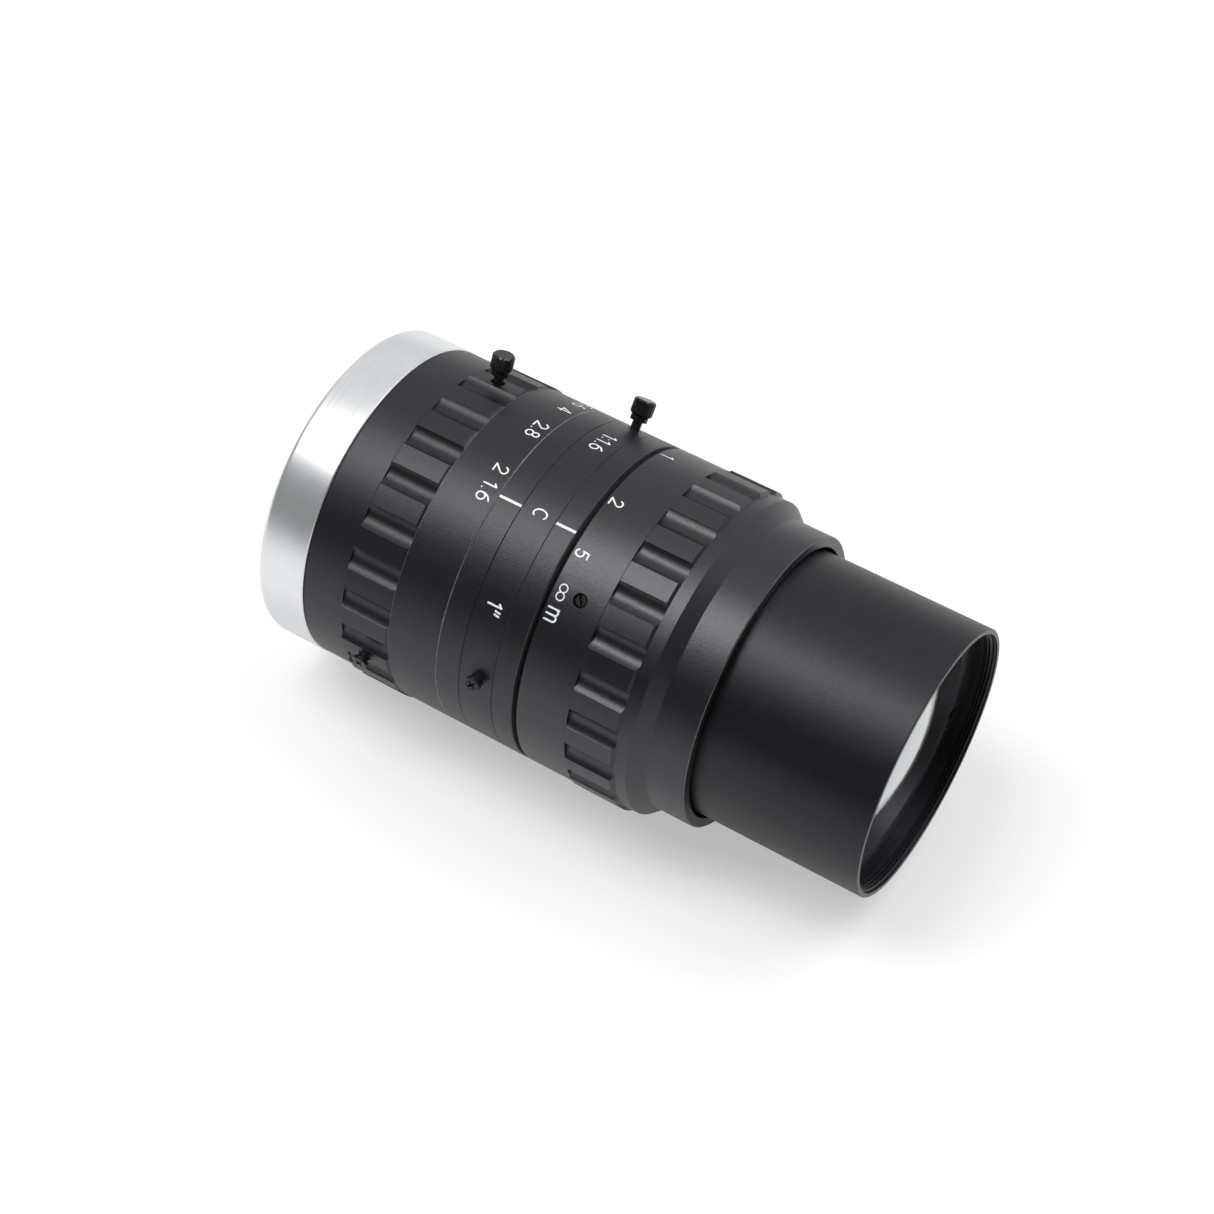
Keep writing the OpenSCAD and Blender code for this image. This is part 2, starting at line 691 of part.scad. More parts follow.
module focus_ring() {
  r = body_r;
  bore = nut_r + seat_fit;
  collar_bore = front_r + 0.6;
  color(black_finish) difference() {
    union() {
      turned([
        [x_focus, bore], [x_nut_front + seat_fit, bore], [x_nut_front + seat_fit, collar_bore],
        [x_collar_end, collar_bore], [x_collar_end, collar_r - 0.2], [x_collar_end - 0.2, collar_r],
        [x_collar, collar_r], [x_cone, lip_r], [x_lip, lip_r], [x_lip, core_r],
        [x_focus_grip, core_r], [x_focus_grip, r], [x_focus + 0.1, r], [x_focus, r - 0.1]
      ]);
      grip(x_focus_grip, x_lip, focus_land_phi, lip_r);
    }
    for (k = [0 : 2])
      radial_hole(grub_phi + 120 * k, x_set_screws, nut_r - 1, r + 1, grub_d / 2 + seat_fit);
  }
}

module focus_set_screws() {
  r = grub_d / 2;
  h = body_r - nut_r - set_screw_recess;
  bevel = 0.25;
  slot_w = 0.34;
  slot_depth = 0.5;
  color(steel_finish) for (k = [0 : 2])
    radial(grub_phi + 120 * k, x_set_screws, nut_r + seat_fit) difference() {
      rotate_extrude($fn = 48) polygon([[0, 0], [r, 0], [r, h - bevel], [r - bevel, h], [0, h]]);
      rotate(grub_slot_turn) translate([-grub_d, -slot_w / 2, h - slot_depth])
        cube([grub_d * 2, slot_w, 2 * slot_depth]);
    }
}

module helicoid_nut() {
  thread_bore = helicoid_r + turn_fit;
  recess_r = stop_ring_r + 0.12;
  x0 = x_index_end + face_gap;
  x2 = x_stop + stop_t + 0.9;
  color(inner_finish) turned([
    [x0, nut_bore_r], [x_stop - face_gap, nut_bore_r], [x_stop - face_gap, recess_r], [x2, recess_r],
    [x2, thread_bore], [x_nut_front, thread_bore], [x_nut_front, nut_r], [x0, nut_r]
  ]);
}

// Front barrel group
module front_barrel() {
  slot_gap = turn_fit;
  rim_chamfer = 0.15;
  color(black_finish) difference() {
    turned([
      [x_tail, tail_bore_r], [x_cell_seat - 3.5, tail_bore_r], [x_cell_seat - 3.5, cell_r - 1.6],
      [x_cell_seat, cell_r - 1.6], [x_cell_seat, cell_r], [x_filter_floor, cell_r],
      [x_filter_floor, filter_wall_r], [x_thread_end, filter_wall_r],
      [x_thread_end, filter_bore_r], [x_rim - 0.1, filter_bore_r],
      [x_rim, filter_bore_r + 0.02], [x_rim, front_r - rim_chamfer],
      [x_rim - rim_chamfer, front_r], [x_helicoid + helicoid_len, front_r],
      [x_helicoid + helicoid_len, helicoid_r], [x_helicoid, helicoid_r],
      [x_helicoid, front_r], [x_tail, front_r]
    ]);
    rotate([key_phi, 0, 0])
      translate([x_tail - 1, tail_bore_r - 1, -key_w / 2 - slot_gap])
        cube([key_slot_front - x_tail + 1, tail_wall + 2, key_w + 2 * slot_gap]);
  }
}

// Stations of the front glasses, counted back from the front glass's vertex
glass_edge = front_glass_curve - sqrt(front_glass_curve * front_glass_curve - front_glass_r * front_glass_r);
x_front_glass = x_glass_vertex - front_glass_t;
x_glass_rim = x_glass_vertex - glass_edge;
front_air = 4.0;
second_glass_t = 6.0;
second_spacer_len = 1.2;
third_glass_t = 1.6;
front_hollow = -1.0;
second_hollow = -0.8;
second_bulge = 2.6;
third_hollow_rear = -1.5;
third_hollow_front = -1.3;
x_second_glass_front = x_front_glass - front_air;
x_second_glass = x_second_glass_front - second_glass_t;
x_cell_step = x_second_glass + second_hollow - seat_fit;
x_third_glass_front = x_cell_step - second_spacer_len + third_hollow_front;
x_third_glass = x_third_glass_front - third_glass_t;
x_third_seat = x_third_glass + third_hollow_rear - seat_fit;
x_cell_front = x_glass_rim - seat_fit;

module lens_cell() {
  r = cell_r - seat_fit;
  third_r = third_glass_r + seat_fit;
  glass_r = front_glass_r + seat_fit;
  x0 = x_cell_seat + seat_fit;
  seat_len = 5;
  relief = 0.6;
  color(inner_finish) turned([
    [x0, third_glass_r - 0.6], [x_third_seat, third_glass_r - 1.6], [x_third_seat, third_r],
    [x_cell_step, third_r], [x_cell_step, glass_r], [x_cell_front, glass_r], [x_cell_front, r],
    [x_cell_front - seat_len, r], [x_cell_front - seat_len - relief, r - relief],
    [x0 + seat_len + relief, r - relief], [x0 + seat_len, r], [x0, r]
  ]);
}

module third_lens() {
  glass(x_third_glass, x_third_glass_front, third_glass_r, third_hollow_rear, third_hollow_front);
}

module second_spacer() {
  x0 = x_third_glass_front - third_hollow_front + seat_fit;
  x1 = x_cell_step;
  color(inner_finish) tube(x0, x1, third_glass_r, third_glass_r - 0.8);
}

module second_lens() {
  glass(x_second_glass, x_second_glass_front, front_glass_r, second_hollow, second_bulge);
}

module front_spacer() {
  bore = front_glass_r - 0.8;
  x0 = x_second_glass_front - fall(second_bulge, front_glass_r, bore) + seat_fit;
  x1 = x_front_glass + front_hollow - seat_fit;
  color(inner_finish) tube(x0, x1, front_glass_r, bore);
}

module front_lens() {
  glass(x_front_glass, x_glass_vertex, front_glass_r, front_hollow, glass_edge);
}

// Retaining ring: a flat front face, a funnel down to the glass and two spanner slots.
funnel_r = front_glass_r + 0.3;
slot_phi = 149.4;

module front_retainer() {
  r = cell_r - seat_fit;
  x0 = x_glass_rim + seat_fit;
  x1 = x_filter_floor - 0.2;
  hold_r = front_glass_r - 0.4;
  x_hold = x_glass_vertex - fall(glass_edge, front_glass_r, hold_r) + seat_fit;
  slot_w = 1.3;
  slot_len = 1.5;
  slot_depth = 0.9;
  color(black_finish) difference() {
    turned([
      [x0, front_glass_r + seat_fit], [x_hold, hold_r], [x1, funnel_r], [x1, r], [x0, r]
    ]);
    for (a = [slot_phi, slot_phi + 180])
      rotate([a, 0, 0]) translate([x1 - slot_depth, r - slot_len, -slot_w / 2])
        cube([2 * slot_depth, 2 * slot_len, slot_w]);
  }
}

mount_base();
inner_barrel();
index_barrel();
index_screws();
guide_key();
helicoid_stop();
rear_cell();
rear_retainer();
rear_lens();
rear_spacer();
fifth_lens();
fourth_lens();
fourth_lens_retainer();
iris_plate();
iris_retainer();
aperture_ring();
aperture_screws();
iris_cam_ring();
iris_drive_pin();
aperture_lock_screw();
focus_ring();
focus_set_screws();
helicoid_nut();
focus_lock_screw();
front_barrel();
lens_cell();
third_lens();
second_spacer();
second_lens();
front_spacer();
front_lens();
front_retainer();
for (i = [1 : blade_count])
  iris_blade(i);
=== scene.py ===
import json
import math

import bmesh
import bpy
from mathutils import Matrix, Vector


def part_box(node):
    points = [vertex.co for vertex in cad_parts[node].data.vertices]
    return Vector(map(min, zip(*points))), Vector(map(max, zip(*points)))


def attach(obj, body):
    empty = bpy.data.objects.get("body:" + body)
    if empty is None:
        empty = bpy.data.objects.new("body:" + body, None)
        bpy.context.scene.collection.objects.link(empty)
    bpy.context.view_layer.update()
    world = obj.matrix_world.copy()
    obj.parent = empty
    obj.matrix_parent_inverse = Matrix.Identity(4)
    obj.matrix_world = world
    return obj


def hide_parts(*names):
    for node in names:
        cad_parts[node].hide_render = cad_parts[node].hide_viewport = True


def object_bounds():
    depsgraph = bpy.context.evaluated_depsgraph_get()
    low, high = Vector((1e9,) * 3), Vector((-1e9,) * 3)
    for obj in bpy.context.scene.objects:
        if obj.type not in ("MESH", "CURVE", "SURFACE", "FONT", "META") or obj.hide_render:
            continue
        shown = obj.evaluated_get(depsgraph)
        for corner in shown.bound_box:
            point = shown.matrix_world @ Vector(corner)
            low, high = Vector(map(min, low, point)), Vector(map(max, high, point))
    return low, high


MM = 0.001

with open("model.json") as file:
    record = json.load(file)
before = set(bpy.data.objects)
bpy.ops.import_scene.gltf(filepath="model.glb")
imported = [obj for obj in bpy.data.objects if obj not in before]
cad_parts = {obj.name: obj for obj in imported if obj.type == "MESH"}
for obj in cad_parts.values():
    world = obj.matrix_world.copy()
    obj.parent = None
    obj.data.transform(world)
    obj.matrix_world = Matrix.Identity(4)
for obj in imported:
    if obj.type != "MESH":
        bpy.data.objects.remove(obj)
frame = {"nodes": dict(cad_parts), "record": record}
nodes = frame["nodes"]
cad_box = [list(v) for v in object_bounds()]


# Camera
def make_camera():
    """The photograph's viewpoint, solved from the circles of the rings."""
    right = Vector((0.8452122, 0.5344309, 0.0))
    up = Vector((-0.4190334, 0.6627089, 0.6206673))
    back = Vector((0.3317038, -0.5245956, 0.7840741))
    position = Vector((170.571, -198.456, 296.013)) * MM
    turn = Matrix((right, up, back)).transposed().to_4x4()
    data = bpy.data.cameras.new("camera")
    data.sensor_width = 36.0
    data.lens = 75.857
    data.clip_start = 0.01
    data.clip_end = 20.0
    cam = bpy.data.objects.new("camera", data)
    cam.matrix_world = Matrix.Translation(position) @ turn
    bpy.context.scene.collection.objects.link(cam)
    bpy.context.scene.camera = cam


make_camera()


# Material helpers
def new_material(name):
    mat = bpy.data.materials.new(name)
    mat.use_nodes = True
    tree = mat.node_tree
    return mat, tree, tree.nodes["Principled BSDF"]


def add(tree, kind, **values):
    """A new node, with values for its sockets or its own settings."""
    n = tree.nodes.new(kind)
    for key, value in values.items():
        if key in n.inputs:
            n.inputs[key].default_value = value
        else:
            setattr(n, key, value)
    return n


def maths(tree, operation, *sources):
    """A maths node; each source is a number or another node's output."""
    n = add(tree, "ShaderNodeMath", operation=operation)
    for socket, source in zip(n.inputs, sources):
        if isinstance(source, (int, float)):
            socket.default_value = source
        else:
            tree.links.new(source, socket)
    return n.outputs[0]


def split_position(tree):
    """The position on the object in metres, whole and split into X, Y and Z."""
    position = add(tree, "ShaderNodeTexCoord").outputs["Object"]
    split = add(tree, "ShaderNodeSeparateXYZ")
    tree.links.new(position, split.inputs["Vector"])
    return position, split.outputs


def noise(tree, scale, detail, rough=0.6):
    n = add(tree, "ShaderNodeTexNoise", Scale=scale, Detail=detail, Roughness=rough)
    tree.links.new(add(tree, "ShaderNodeTexCoord").outputs["Object"], n.inputs["Vector"])
    return n.outputs["Fac"]


def turned_marks(tree, per_metre, detail=4.0):
    """Fine rings round the axis, on barrels and on flat ends alike."""
    sweep = 0.004
    position, split = split_position(tree)
    flat = add(tree, "ShaderNodeVectorMath", operation="MULTIPLY")
    tree.links.new(position, flat.inputs[0])
    flat.inputs[1].default_value = (0, 1, 1)
    radius = add(tree, "ShaderNodeVectorMath", operation="LENGTH")
    tree.links.new(flat.outputs[0], radius.inputs[0])
    joined = add(tree, "ShaderNodeCombineXYZ")
    tree.links.new(split["X"], joined.inputs["X"])
    tree.links.new(radius.outputs["Value"], joined.inputs["Y"])
    tree.links.new(maths(tree, "MULTIPLY", split["Z"], sweep), joined.inputs["Z"])
    n = add(tree, "ShaderNodeTexNoise", Scale=per_metre, Detail=detail, Roughness=0.7)
    tree.links.new(joined.outputs["Vector"], n.inputs["Vector"])
    return n.outputs["Fac"]


def ramp(tree, source, lo, hi, start=0.3, end=0.7):
    """Maps start..end of a source to the numbers lo..hi."""
    n = add(tree, "ShaderNodeMapRange")
    n.inputs["From Min"].default_value = start
    n.inputs["From Max"].default_value = end
    n.inputs["To Min"].default_value = lo
    n.inputs["To Max"].default_value = hi
    tree.links.new(source, n.inputs["Value"])
    return n.outputs["Result"]


def blend_colours(tree, source, a, b):
    """Goes from colour a to colour b with the middle range of a source."""
    n = add(tree, "ShaderNodeMix", data_type="RGBA")
    n.inputs[6].default_value = (*a, 1)
    n.inputs[7].default_value = (*b, 1)
    tree.links.new(ramp(tree, source, 0, 1), n.inputs[0])
    return n.outputs[2]


def bumps(tree, shader, layers, edge=0.0):
    """Chains bump layers of (height source, depth in metres, strength) on a softened edge normal."""
    normal = None
    if edge:
        normal = add(tree, "ShaderNodeBevel", samples=4, Radius=edge).outputs["Normal"]
    for source, depth, strength in layers:
        b = add(tree, "ShaderNodeBump", Strength=strength, Distance=depth)
        tree.links.new(source, b.inputs["Height"])
        if normal:
            tree.links.new(normal, b.inputs["Normal"])
        normal = b.outputs["Normal"]
    tree.links.new(normal, shader.inputs["Normal"])


def edge_wear(tree, lines):
    """1 on the rubbed edges: each line is (station mm, half width mm, share that is worn)."""
    split = split_position(tree)[1]
    rubbed = noise(tree, 1800, 3, 0.7)
    total = None
    for x, half, share in lines:
        near = maths(tree, "COMPARE", split["X"], x * MM, half * MM)
        part = maths(tree, "MULTIPLY", near, ramp(tree, rubbed, 0.35 * share, share, 0.35, 0.65))
        total = maths(tree, "MAXIMUM", total, part) if total else part
    return total


def mixed(tree, source, a, b):
    """Mixes a colour source with the colour b by a 0..1 source."""
    n = add(tree, "ShaderNodeMix", data_type="RGBA")
    tree.links.new(source, n.inputs[0])
    tree.links.new(a, n.inputs[6])
    n.inputs[7].default_value = (*b, 1)
    return n.outputs[2]


BARE_ALUMINIUM = (0.55, 0.56, 0.58)
COOL_SHEEN = (0.93, 0.93, 1.0, 1)


def black_anodised(name, dark=(0.0028, 0.0028, 0.0034), pale=(0.0050, 0.0050, 0.0060),
                   rough=(0.37, 0.44), gloss=0.60, grain=1.0, turning=0.5, wear=()):
    """Bead-blasted and dyed aluminium: fine grain, faint turning marks, an uneven dye and rubbed edges."""
    mat, tree, bsdf = new_material(name)
    colour = blend_colours(tree, noise(tree, 400, 4), dark, pale)
    if wear:
        worn = edge_wear(tree, wear)
        colour = mixed(tree, worn, colour, BARE_ALUMINIUM)
        tree.links.new(worn, bsdf.inputs["Metallic"])
    tree.links.new(colour, bsdf.inputs["Base Color"])
    tree.links.new(ramp(tree, noise(tree, 3500, 3), *rough), bsdf.inputs["Roughness"])
    bsdf.inputs["Specular IOR Level"].default_value = gloss
    bsdf.inputs["Specular Tint"].default_value = COOL_SHEEN
    bumps(tree, bsdf, [
        (noise(tree, 4600, 3), 0.00004, 0.60 * grain),
        (turned_marks(tree, 9000, 3.0), 0.00001, 0.12 * turning),
    ], edge=0.00007)
    return mat


def silver_anodised():
    """Satin turned aluminium with fine rings round the axis."""
    mat, tree, bsdf = new_material("silver_mount")
    rings = turned_marks(tree, 14000)
    colour = blend_colours(tree, noise(tree, 120, 3), (0.80, 0.81, 0.82), (0.87, 0.88, 0.89))
    tree.links.new(colour, bsdf.inputs["Base Color"])
    tree.links.new(ramp(tree, rings, 0.26, 0.38), bsdf.inputs["Roughness"])
    bsdf.inputs["Metallic"].default_value = 0.86
    bumps(tree, bsdf, [(rings, 0.000012, 0.35), (noise(tree, 6000, 2), 0.00001, 0.12)], edge=0.00008)
    return mat


def plain_metal(name, dark, pale, rough, metallic=1.0):
    """Small steel and brass pieces, a little uneven."""
    mat, tree, bsdf = new_material(name)
    tree.links.new(blend_colours(tree, noise(tree, 500, 3), dark, pale), bsdf.inputs["Base Color"])
    tree.links.new(ramp(tree, noise(tree, 2500, 2), *rough), bsdf.inputs["Roughness"])
    bsdf.inputs["Metallic"].default_value = metallic
    bumps(tree, bsdf, [(noise(tree, 5000, 2), 0.00001, 0.2)], edge=0.00004)
    return mat


def coated_glass():
    """Dense clear glass with a thin anti-reflection coating and the faintest dust."""
    mat, tree, bsdf = new_material("optical_glass")
    bsdf.inputs["Base Color"].default_value = (0.97, 0.985, 0.98, 1)
    bsdf.inputs["Transmission Weight"].default_value = 1.0
    bsdf.inputs["IOR"].default_value = 1.67
    bsdf.inputs["Thin Film Thickness"].default_value = 108.0
    bsdf.inputs["Thin Film IOR"].default_value = 1.36
    tree.links.new(ramp(tree, noise(tree, 1800, 3), 0.0, 0.006, 0.55, 0.75), bsdf.inputs["Roughness"])
    return mat


def white_print():
    """Screen-printed ink, a little uneven and slightly raised."""
    mat, tree, bsdf = new_material("white_print")
    colour = blend_colours(tree, noise(tree, 2500, 3), (0.70, 0.71, 0.72), (0.84, 0.85, 0.86))
    tree.links.new(colour, bsdf.inputs["Base Color"])
    tree.links.new(ramp(tree, noise(tree, 5000, 2), 0.45, 0.6), bsdf.inputs["Roughness"])
    bumps(tree, bsdf, [(noise(tree, 9000, 2), 0.00001, 0.25)])
    return mat


INSIDE = dict(dark=(0.003, 0.003, 0.0032), pale=(0.005, 0.005, 0.0054), rough=(0.55, 0.7),
              grain=0.6, turning=0.8)
SMOOTH = dict(rough=(0.39, 0.46), gloss=0.42, grain=0.5, turning=0.8)
SATIN = dict(dark=(0.011, 0.011, 0.012), pale=(0.017, 0.017, 0.018), rough=(0.45, 0.55),
             grain=0.6, turning=0.8)
materials = {
    "black_anodised": black_anodised("black_anodised"),
    "aperture_black": black_anodised("aperture_black", wear=[(31.98, 0.05, 0.9), (23.6, 0.03, 0.3)]),
    "index_black": black_anodised(
        "index_black", wear=[(32.09, 0.03, 0.4), (41.57, 0.03, 0.6), (44.94, 0.03, 0.2)]),
    "focus_black": black_anodised(
        "focus_black", rough=(0.34, 0.41), gloss=0.72, wear=[(72.26, 0.03, 0.3)]),
    "barrel_black": black_anodised("barrel_black", wear=[(98.84, 0.03, 0.3)], **SMOOTH),
    "retainer_black": black_anodised("retainer_black", **SATIN),
    "matt_black_inside": black_anodised("matt_black_inside", **INSIDE),
    "silver_mount": silver_anodised(),
    "screw_steel": plain_metal(
        "screw_steel", (0.016, 0.016, 0.018), (0.030, 0.030, 0.033), (0.18, 0.28), 0.6),
    "lock_screw_black": plain_metal(
        "lock_screw_black", (0.004, 0.004, 0.005), (0.008, 0.008, 0.009), (0.18, 0.28), 0.0),
    "brass": plain_metal("brass", (0.55, 0.40, 0.16), (0.66, 0.50, 0.22), (0.25, 0.38)),
    "optical_glass": coated_glass(),
    "blade_steel": plain_metal("blade_steel", (0.03, 0.03, 0.032), (0.05, 0.05, 0.052), (0.4, 0.5), 0.6),
    "white_print": white_print(),
}
# Pieces whose look differs from the rest of their slot
own_material = {
    "front_barrel": "barrel_black", "front_retainer": "retainer_black", "aperture_ring": "aperture_black",
    "index_barrel": "index_black", "focus_ring": "focus_black",
}


def set_material(obj, name):
    if not obj.material_slots:
        obj.data.materials.append(None)
    for s in obj.material_slots:
        s.material = materials[name]


for part in frame["record"]["subparts"]:
    set_material(nodes[part["node"]], own_material.get(part["node"], part["material_slot"]))


# Mesh helpers
def on_axis(x, r, phi):
    """A point in metres from a station, a radius and an angle from +Y towards +Z."""
    a = math.radians(phi)
    return Vector((x, r * math.cos(a), r * math.sin(a))) * MM


def mesh_object(name, bm, material, body):
    bmesh.ops.remove_doubles(bm, verts=bm.verts, dist=1e-7)
    bmesh.ops.recalc_face_normals(bm, faces=bm.faces)
    data = bpy.data.meshes.new(name)
    bm.to_mesh(data)
    bm.free()
    obj = bpy.data.objects.new(name, data)
    bpy.context.scene.collection.objects.link(obj)
    set_material(obj, material)
    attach(obj, body)
    return obj


def lathe(bm, outline, segments=256, closed=True):
    """Spins an outline of (x, radius) about the axis; returns its rings of vertices."""
    rows = [[bm.verts.new(on_axis(x, r, 360 * i / segments)) for i in range(segments)]
            for x, r in outline]
    pairs = list(zip(rows, rows[1:] + rows[:1])) if closed else list(zip(rows, rows[1:]))
    for a, b in pairs:
        for i in range(segments):
            j = (i + 1) % segments
            bm.faces.new((a[i], a[j], b[j], b[i]))
    return rows


def thread(bm, x0, x1, root_r, crest_r, pitch, steps=120):
    """A helical ridge of V form that fades in and out at its ends."""
    # (share of the pitch, share of the height)
    form = [(0.06, 0.0), (0.44, 1.0), (0.56, 1.0), (0.94, 0.0)]
    fade = steps * 0.25
    turns = (x1 - x0) / pitch - 1
    total = int(turns * steps)
    last = None
    for i in range(total + 1):
        height = (crest_r - root_r) * min(1, i / fade, (total - i) / fade)
        x = x0 + pitch * i / steps
        row = [bm.verts.new(on_axis(x + pitch * u, root_r + height * v, 360 * i / steps)) for u, v in form]
        if last:
            for k in range(len(form) - 1):
                bm.faces.new((last[k], row[k], row[k + 1], last[k + 1]))
        last = row


def shade_smooth(obj, angle):
    """Smooth shading with sharp edges above an angle in degrees."""
    for p in obj.data.polygons:
        p.use_smooth = True
    bm = bmesh.new()
    bm.from_mesh(obj.data)
    for e in bm.edges:
        if len(e.link_faces) == 2 and e.calc_face_angle() > math.radians(angle):
            e.smooth = False
    bm.to_mesh(obj.data)
    bm.free()


# Glass
def make_lens(node, body, bulge_rear, bulge_front):
    """A finely spun glass in place of its coarser solid.

    A bulge is signed, in mm, and measured at the middle of its face.
    """
    rows, segments = 40, 128
    lo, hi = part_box(node)
    radius = hi.y / MM
    x0 = lo.x / MM + max(0, -bulge_rear)
    x1 = hi.x / MM - max(0, -bulge_front)

    def fall(bulge, t):
        c = (radius * radius + bulge * bulge) / (2 * abs(bulge))
        return math.copysign(c - math.sqrt(c * c - t * t), bulge)

    steps = [radius * i / rows for i in range(1, rows + 1)]
    rear = [(x0 + fall(bulge_rear, t), t) for t in steps]
    front = [(x1 - fall(bulge_front, t), t) for t in reversed(steps)]
    bm = bmesh.new()
    rings = lathe(bm, rear + front, segments, closed=False)
    for x, ring in ((x0, rings[0]), (x1, rings[-1])):
        pole = bm.verts.new(on_axis(x, 0, 0))
        for a, b in zip(ring, ring[1:] + ring[:1]):
            bm.faces.new((pole, a, b))
    obj = mesh_object(node + "_polished", bm, "optical_glass", body)
    shade_smooth(obj, 30)
    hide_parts(node)


for node, body, rear, front in (
    ("front_lens", "front_group", -1.0, 4.3485), ("second_lens", "front_group", -0.8, 2.6),
    ("third_lens", "front_group", -1.5, -1.3), ("fourth_lens", "barrel", 0.8, 2.0),
    ("fifth_lens", "barrel", 0.5, 1.2), ("rear_lens", "barrel", -0.7, 1.2),
):
    make_lens(node, body, rear, front)


# Filter thread
def make_filter_thread():
    bm = bmesh.new()
    thread(bm, x0=96.62, x1=98.7, root_r=20.26, crest_r=19.98, pitch=0.5, steps=160)
    obj = mesh_object("filter_thread_ridge", bm, "barrel_black", "front_group")
    shade_smooth(obj, 40)


make_filter_thread()


# Mount with its thread
def make_mount():
    """The silver ring and its screw boss, with the thread that the solid leaves out."""
    ring_r, ring_len, bevel, round_r = 25.28, 8.15, 0.15, 0.9
    boss_r, root_r, boss_x, chamfer = 12.7, 12.24, -4.0, 0.25
    bore_r, cavity_r, cavity_x = 11.03, 21.33, 3.0
    outline = [(boss_x, bore_r), (cavity_x, bore_r), (cavity_x, cavity_r), (ring_len, cavity_r),
               (ring_len, ring_r - bevel), (ring_len - bevel, ring_r)]
    for i in range(13):
        a = math.radians(7.5 * i)
        outline.append((round_r * (1 - math.sin(a)), ring_r - round_r * (1 - math.cos(a))))
    outline += [(0.0, root_r), (boss_x + chamfer, root_r), (boss_x, root_r - chamfer)]
    bm = bmesh.new()
    lathe(bm, outline)
    thread(bm, x0=-3.9, x1=-0.1, root_r=root_r - 0.01, crest_r=boss_r, pitch=25.4 / 32)
    obj = mesh_object("mount_ring_threaded", bm, "silver_mount", "barrel")
    shade_smooth(obj, 25)
    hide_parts("mount_base")


make_mount()


# Printed marks
BODY_R = 25.4
INK_HEIGHT = 0.015
PRINT_R = BODY_R + INK_HEIGHT
APERTURE_SCALE_X = 30.08
LETTERED_BAND_X = 38.9
FOCUS_SCALE_X = 47.33
INDEX_PHI = 107.8
INDEX_WIDTH = 0.4
# Space between two glyphs, in units of their height
GAP = 0.17
# Corners of a stroke's round end
END_CORNERS = 14


def arc(cx, cy, rx, ry, a0, a1, n=14):
    """Points of an elliptical arc from angle a0 to a1."""
    return [(cx + rx * math.cos(math.radians(a0 + (a1 - a0) * i / n)),
             cy + ry * math.sin(math.radians(a0 + (a1 - a0) * i / n))) for i in range(n + 1)]


# Each glyph is (width, strokes) in units of its height, for a single-line letter
GLYPHS = {
    "0": (0.60, [arc(0.30, 0.50, 0.27, 0.50, 0, 360, 28)]),
    "1": (0.34, [[(0.04, 0.80), (0.24, 1.0)], [(0.24, 1.0), (0.24, 0.0)]]),
    "2": (0.62, [arc(0.31, 0.72, 0.27, 0.28, 170, -40),
                 [(0.517, 0.54), (0.04, 0.0)], [(0.04, 0.0), (0.60, 0.0)]]),
    "4": (0.66, [[(0.47, 0.0), (0.47, 1.0)], [(0.47, 1.0), (0.03, 0.27)], [(0.03, 0.27), (0.64, 0.27)]]),
    "5": (0.60, [[(0.54, 1.0), (0.14, 1.0)], [(0.14, 1.0), (0.08, 0.52)],
                 arc(0.30, 0.32, 0.27, 0.32, 140, -150)]),
    "6": (0.60, [arc(0.31, 0.31, 0.27, 0.31, 0, 360, 24), arc(0.62, 0.36, 0.58, 0.66, 180, 105)]),
    "8": (0.60, [arc(0.30, 0.76, 0.22, 0.24, 0, 360, 22), arc(0.30, 0.27, 0.27, 0.27, 0, 360, 24)]),
    ".": (0.20, [[(0.08, 0.03), (0.10, 0.03)]]),
    ":": (0.20, [[(0.09, 0.12), (0.11, 0.12)], [(0.09, 0.62), (0.11, 0.62)]]),
    "C": (0.72, [arc(0.38, 0.50, 0.34, 0.50, 52, 308, 22)]),
    "m": (0.86, [[(0.08, 0.0), (0.08, 0.66)], arc(0.255, 0.47, 0.175, 0.19, 180, 0, 10),
                 [(0.43, 0.47), (0.43, 0.0)], arc(0.605, 0.47, 0.175, 0.19, 180, 0, 10),
                 [(0.78, 0.47), (0.78, 0.0)]]),
    "infinity": (1.14, [arc(0.31, 0.50, 0.26, 0.26, 0, 360, 22), arc(0.83, 0.50, 0.26, 0.26, 0, 360, 22)]),
    "inch": (0.40, [[(0.08, 1.0), (0.03, 0.68)], [(0.32, 1.0), (0.27, 0.68)]]),
}


def finely(stroke):
    """Adds points to a stroke, so that it bends with the barrel."""
    step = 0.1
    points = [stroke[0]]
    for a, b in zip(stroke, stroke[1:]):
        n = max(1, math.ceil(math.dist(a, b) / step))
        points += [(a[0] + (b[0] - a[0]) * i / n, a[1] + (b[1] - a[1]) * i / n) for i in range(1, n + 1)]
    return points


def draw_stroke(bm, points, half, place):
    """A flat ribbon with round ends, each vertex laid on the barrel by place(u, v)."""
    rows = []
    for i, (u, v) in enumerate(points):
        a, b = points[max(0, i - 1)], points[min(len(points) - 1, i + 1)]
        if points[0] == points[-1] and i in (0, len(points) - 1):
            a, b = points[-2], points[1]
        length = math.dist(a, b)
        nu, nv = -(b[1] - a[1]) / length * half, (b[0] - a[0]) / length * half
        rows.append((bm.verts.new(place(u + nu, v + nv)), bm.verts.new(place(u - nu, v - nv))))
    for a, b in zip(rows, rows[1:]):
        bm.faces.new((a[0], a[1], b[1], b[0]))
    if points[0] != points[-1]:
        for u, v in (points[0], points[-1]):
            bm.faces.new([bm.verts.new(place(u + half * math.cos(t), v + half * math.sin(t)))
                          for t in (2 * math.pi * k / END_CORNERS for k in range(END_CORNERS))])


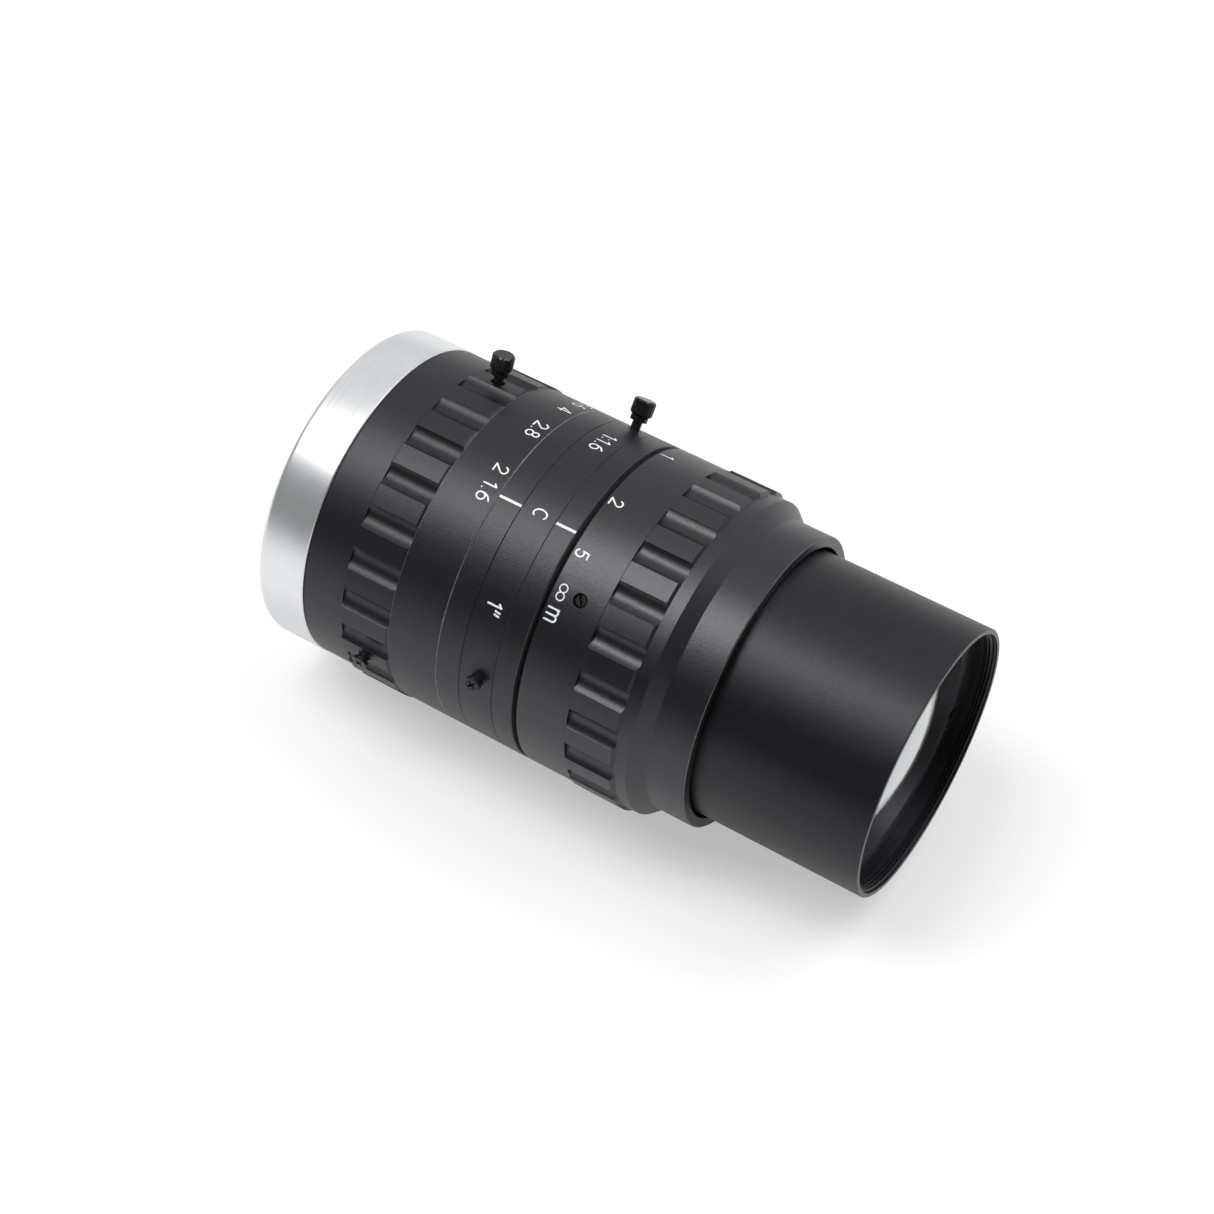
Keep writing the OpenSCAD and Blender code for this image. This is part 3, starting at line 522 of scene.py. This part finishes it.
def numbers(name, body, x, marks, height=2.1, line=0.24):
    """Marks are (glyphs, angle of their middle); up is towards the front, right is a larger angle."""
    bm = bmesh.new()
    for glyphs, phi in marks:
        width = sum(GLYPHS[g][0] for g in glyphs) + GAP * (len(glyphs) - 1)
        start = -width / 2
        for g in glyphs:
            def place(u, v, start=start):
                turn = math.degrees((start + u) * height / PRINT_R)
                return on_axis(x + (v - 0.5) * height, PRINT_R, phi + turn)
            for stroke in GLYPHS[g][1]:
                draw_stroke(bm, finely(stroke), line / 2 / height, place)
            start += GLYPHS[g][0] + GAP
    mesh_object(name, bm, "white_print", body)


def index_lines():
    steps = 4
    bm = bmesh.new()
    for x0, x1 in ((32.2, 35.88), (41.65, 44.9)):
        rows = []
        for i in range(steps + 1):
            phi = INDEX_PHI + math.degrees((i / steps - 0.5) * INDEX_WIDTH / PRINT_R)
            rows.append([bm.verts.new(on_axis(x, PRINT_R, phi)) for x in (x0, x1)])
        for a, b in zip(rows, rows[1:]):
            bm.faces.new((a[0], a[1], b[1], b[0]))
    mesh_object("index_lines", bm, "white_print", "barrel")


numbers("aperture_numbers", "aperture_ring", APERTURE_SCALE_X,
        [("1.6", 108.3), ("2", 99.4), ("2.8", 78.6), ("4", 60.9), ("5.6", 48.0), ("8", 37.0), ("16", 22.8)])
numbers("focus_numbers", "focus_ring", FOCUS_SCALE_X,
        [("0.6", 4.8), ("0.8", 37.2), ("1", 59.9), ("2", 92.3), ("5", 113.1)], height=1.95)
numbers("focus_infinity", "focus_ring", FOCUS_SCALE_X, [(["infinity"], 126.7)], height=2.3, line=0.18)
numbers("focus_unit", "focus_ring", 47.70, [("m", 134.4)], height=2.6, line=0.27)
numbers("barrel_marks", "barrel", LETTERED_BAND_X, [("1:1.6", 69.9), ("C", 107.4)])
numbers("format_mark", "barrel", LETTERED_BAND_X, [(["1", "inch"], 141.1)], height=2.2, line=0.30)
index_lines()


# Floor, lamps and world
def light_path(tree):
    """1 for rays that see the background directly, in gloss or through glass."""
    path = add(tree, "ShaderNodeLightPath").outputs
    direct = maths(tree, "MAXIMUM", path["Is Camera Ray"], path["Is Glossy Ray"])
    return maths(tree, "MAXIMUM", direct, path["Is Transmission Ray"])


def make_floor():
    """A pale floor under the lens that keeps its shadow and turns white with distance."""
    half_size = 3.0
    mat, tree, bsdf = new_material("studio_floor")
    colour = blend_colours(tree, noise(tree, 6, 2), (0.60, 0.60, 0.60), (0.62, 0.62, 0.62))
    tree.links.new(colour, bsdf.inputs["Base Color"])
    bsdf.inputs["Roughness"].default_value = 0.9
    bsdf.inputs["Specular IOR Level"].default_value = 0.1
    spread = add(tree, "ShaderNodeVectorMath", operation="LENGTH")
    tree.links.new(add(tree, "ShaderNodeTexCoord").outputs["Object"], spread.inputs[0])
    seen = add(tree, "ShaderNodeLightPath").outputs["Is Camera Ray"]
    far_glow = ramp(tree, spread.outputs["Value"], 0.18, 0.55, 0.18, 0.9)
    even_glow = ramp(tree, light_path(tree), 0, 0.22, 0, 1)
    glow = add(tree, "ShaderNodeEmission")
    tree.links.new(maths(tree, "MULTIPLY_ADD", seen, far_glow, even_glow), glow.inputs["Strength"])
    both = add(tree, "ShaderNodeAddShader")
    out = tree.nodes["Material Output"]
    tree.links.new(bsdf.outputs[0], both.inputs[0])
    tree.links.new(glow.outputs[0], both.inputs[1])
    tree.links.new(both.outputs[0], out.inputs["Surface"])
    bm = bmesh.new()
    bmesh.ops.create_grid(bm, x_segments=8, y_segments=8, size=half_size)
    data = bpy.data.meshes.new("studio_floor")
    bm.to_mesh(data)
    bm.free()
    obj = bpy.data.objects.new("studio_floor", data)
    obj.location = (0, 0, cad_box[0][2])
    data.materials.append(mat)
    bpy.context.scene.collection.objects.link(obj)


def softbox(name, direction, distance, width, height, power):
    """A lamp that faces the middle of the lens; direction runs from the lens to the lamp."""
    target = (50, 0, 5)
    data = bpy.data.lights.new(name, "AREA")
    data.shape = "RECTANGLE"
    data.size = width
    data.size_y = height
    data.energy = power
    obj = bpy.data.objects.new(name, data)
    d = Vector(direction).normalized()
    obj.location = Vector(target) * MM + d * distance
    obj.rotation_euler = d.to_track_quat("Z", "Y").to_euler()
    bpy.context.scene.collection.objects.link(obj)


def make_world():
    """White to the camera; in reflections a dim room on its side and a pale wall behind the lens."""
    world = bpy.data.worlds.new("studio")
    bpy.context.scene.world = world
    world.use_nodes = True
    tree = world.node_tree
    back = tree.nodes["Background"]
    back.inputs["Color"].default_value = (1, 1, 1, 1)
    coords = add(tree, "ShaderNodeTexCoord")
    split = add(tree, "ShaderNodeSeparateXYZ")
    tree.links.new(coords.outputs["Generated"], split.inputs["Vector"])
    walls = ramp(tree, split.outputs["Y"], 0.10, 0.66, -0.4, 0.5)
    gloss = add(tree, "ShaderNodeMix", data_type="FLOAT")
    tree.links.new(light_path(tree), gloss.inputs[0])
    gloss.inputs[2].default_value = 0.45
    tree.links.new(walls, gloss.inputs[3])
    seen = add(tree, "ShaderNodeLightPath").outputs["Is Camera Ray"]
    tree.links.new(maths(tree, "MAXIMUM", seen, gloss.outputs[0]), back.inputs["Strength"])


make_floor()
make_world()
softbox("top_softbox", (-0.28, -0.22, 0.93), distance=0.7, width=0.26, height=0.48, power=3.0)
softbox("back_softbox", (0.36, 0.42, 0.83), distance=1.1, width=0.7, height=0.7, power=4.8)

bpy.context.scene.view_settings.view_transform = "Standard"
